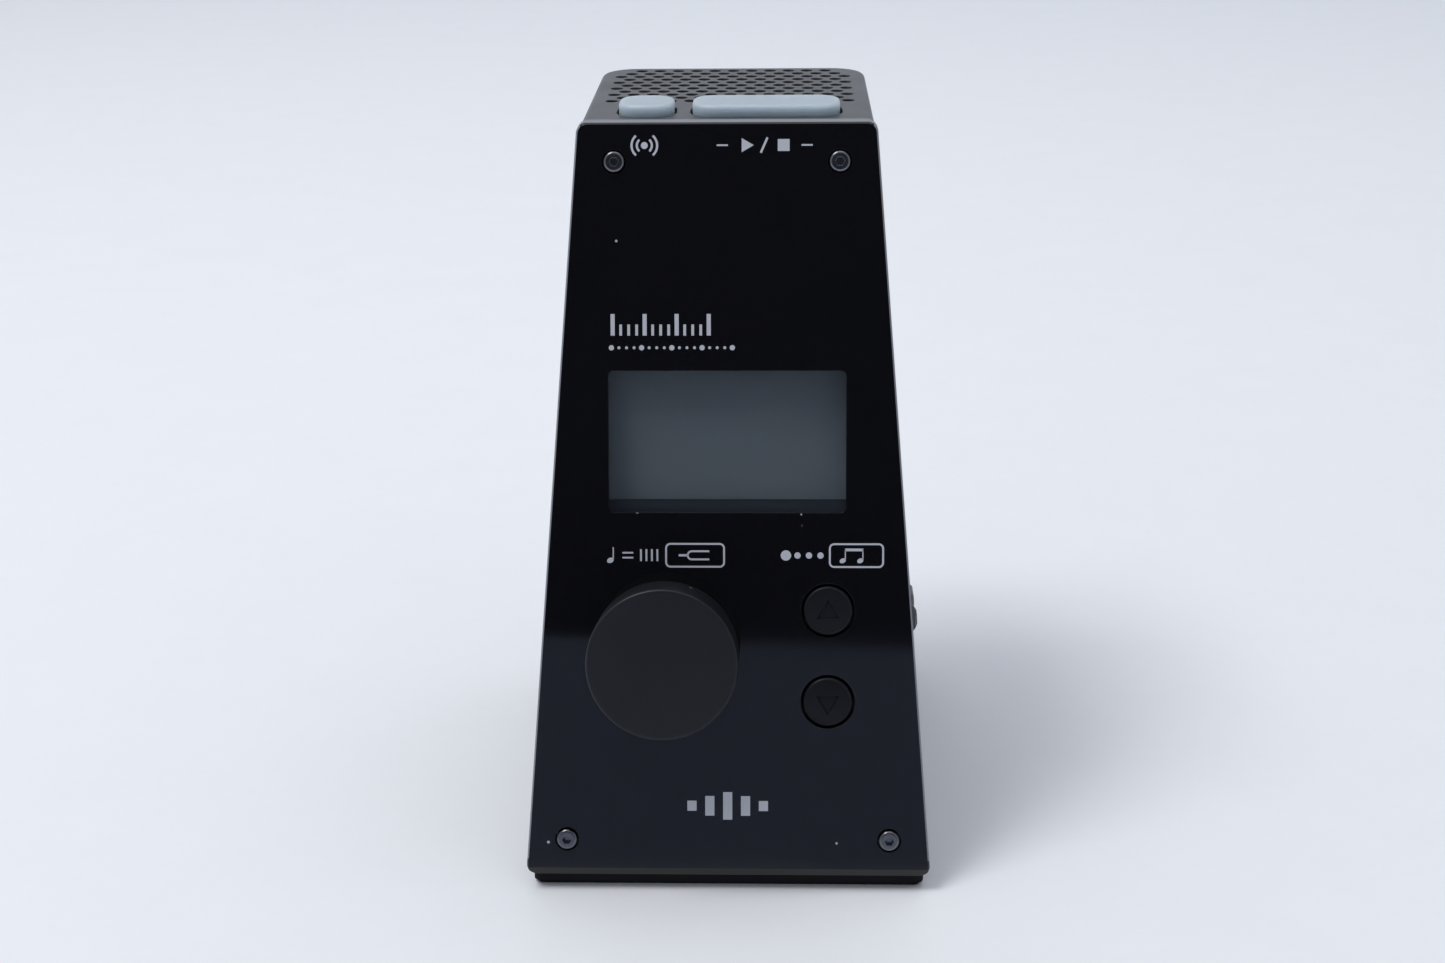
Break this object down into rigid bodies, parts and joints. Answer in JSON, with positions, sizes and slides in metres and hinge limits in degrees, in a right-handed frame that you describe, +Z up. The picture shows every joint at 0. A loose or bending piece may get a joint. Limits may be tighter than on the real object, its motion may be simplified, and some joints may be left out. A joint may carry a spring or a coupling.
{
  "type": "digital metronome",
  "caption": "Tower-shaped electronic metronome with a leaning glossy front, display, tempo dial, beat buttons, perforated speaker top and lit push buttons.",
  "frame": {"origin": "centre of the rubber pad's resting face", "axes": "+Z up, +X to the right as the front is faced, +Y towards the back"},
  "size_m": [0.0746, 0.1006, 0.1376],
  "materials": {
    "shell_plastic": "fine satin texture, graphite black",
    "panel_acrylic": "polished black acrylic",
    "clear_window": "clear polished window",
    "display": "grey liquid-crystal face, unlit",
    "light_guide": "milky light guide",
    "contact_rubber": "grey elastomer strip",
    "inner_plastic": "black moulded plastic",
    "screw_steel": "blackened steel",
    "circuit_board": "green solder mask",
    "chip_plastic": "black epoxy packages",
    "connector_plastic": "off-white nylon",
    "switch_plastic": "black switch housings",
    "stem_plastic": "grey switch stems",
    "bright_metal": "plated steel",
    "dial_plastic": "fine soft-touch charcoal",
    "button_plastic": "satin black",
    "power_plastic": "satin grey",
    "translucent_cap": "translucent pale blue-grey",
    "lamp_lens": "small clear lamps",
    "magnet_iron": "plated iron and ferrite",
    "cone_paper": "pressed black paper",
    "surround_rubber": "black rubber roll",
    "acoustic_cloth": "thin black cloth",
    "cell_jacket": "plain printed jacket",
    "pad_rubber": "black rubber",
    "lead_insulation": "coloured insulation",
    "flat_cable": "flat grey cable"
  },
  "bodies": {
    "housing": {"main_shell": "shell_plastic", "front_panel": "panel_acrylic", "display_window": "clear_window", "display_glass": "display", "display_backlight": "light_guide", "display_connector": "contact_rubber", "display_bezel": "inner_plastic", "front_chassis": "inner_plastic", "panel_screws": "screw_steel", "main_board": "circuit_board", "board_screws": "screw_steel", "board_components": "chip_plastic", "board_connectors": "connector_plastic", "encoder_body": "switch_plastic", "encoder_nut": "bright_metal", "beat_switches": "switch_plastic", "top_switches": "switch_plastic", "top_board": "circuit_board", "top_board_screws": "screw_steel", "indicator_leds": "lamp_lens", "speaker_frame": "bright_metal", "speaker_magnet": "magnet_iron", "speaker_surround": "surround_rubber", "speaker_clamp": "inner_plastic", "speaker_screws": "screw_steel", "speaker_cloth": "acoustic_cloth", "volume_pot": "switch_plastic", "power_switch": "switch_plastic", "phones_jack": "switch_plastic", "side_board": "circuit_board", "side_board_screws": "screw_steel", "battery_tray": "inner_plastic", "tray_screws": "screw_steel", "battery_cells": "cell_jacket", "contact_springs": "bright_metal", "contact_plates": "bright_metal", "base_plate": "inner_plastic", "base_screws": "screw_steel", "anti_slip_pad": "pad_rubber", "battery_leads": "lead_insulation", "speaker_leads": "lead_insulation", "side_leads": "lead_insulation", "top_ribbon": "flat_cable"},
    "tempo_dial": {"tempo_dial": "dial_plastic", "encoder_shaft": "bright_metal"},
    "beat_up": {"beat_up_button": "button_plastic", "beat_up_plunger": "stem_plastic"},
    "beat_down": {"beat_down_button": "button_plastic", "beat_down_plunger": "stem_plastic"},
    "tap": {"tap_button": "translucent_cap", "tap_plunger": "stem_plastic"},
    "start_stop": {"start_stop_button": "translucent_cap", "start_stop_plungers": "stem_plastic"},
    "power": {"power_button": "power_plastic", "power_plunger": "stem_plastic"},
    "volume": {"volume_wheel": "button_plastic"},
    "cone": {"speaker_cone": "cone_paper"},
    "battery_door": {"battery_door": "shell_plastic"}
  },
  "joints": [
    {"name": "tempo_dial_turn", "type": "hinge", "parent": "housing", "child": "tempo_dial", "pos_m": [-0.0115, -0.03768, 0.0433], "axis": [0, -0.9617, 0.274], "continuous": true},
    {"name": "tap_press", "type": "slide", "parent": "housing", "child": "tap", "axis": [0, 0, -1], "range_m": [0, 0.001], "stiffness_N_per_m": 900},
    {"name": "start_stop_press", "type": "slide", "parent": "housing", "child": "start_stop", "axis": [0, 0, -1], "range_m": [0, 0.001], "stiffness_N_per_m": 1200},
    {"name": "beat_up_press", "type": "slide", "parent": "housing", "child": "beat_up", "axis": [0, 0.9617, -0.274], "range_m": [0, 0.0007], "stiffness_N_per_m": 900},
    {"name": "beat_down_press", "type": "slide", "parent": "housing", "child": "beat_down", "axis": [0, 0.9617, -0.274], "range_m": [0, 0.0007], "stiffness_N_per_m": 900},
    {"name": "power_press", "type": "slide", "parent": "housing", "child": "power", "axis": [-0.9973, 0, -0.0737], "range_m": [0, 0.0008], "stiffness_N_per_m": 900},
    {"name": "volume_turn", "type": "hinge", "parent": "housing", "child": "volume", "pos_m": [0.02824, -0.0143, 0.0396], "axis": [-0.0737, 0, 0.9973], "range_deg": [-140, 140]},
    {"name": "speaker_cone_travel", "type": "slide", "parent": "housing", "child": "cone", "axis": [0, 0, 1], "range_m": [-0.0005, 0.0005], "stiffness_N_per_m": 1500, "deforming": ["speaker_surround"]},
    {"name": "battery_door_open", "type": "hinge", "parent": "housing", "child": "battery_door", "pos_m": [0, 0.0483, 0.0078], "axis": [-1, 0, 0], "range_deg": [0, 85]}
  ]
}
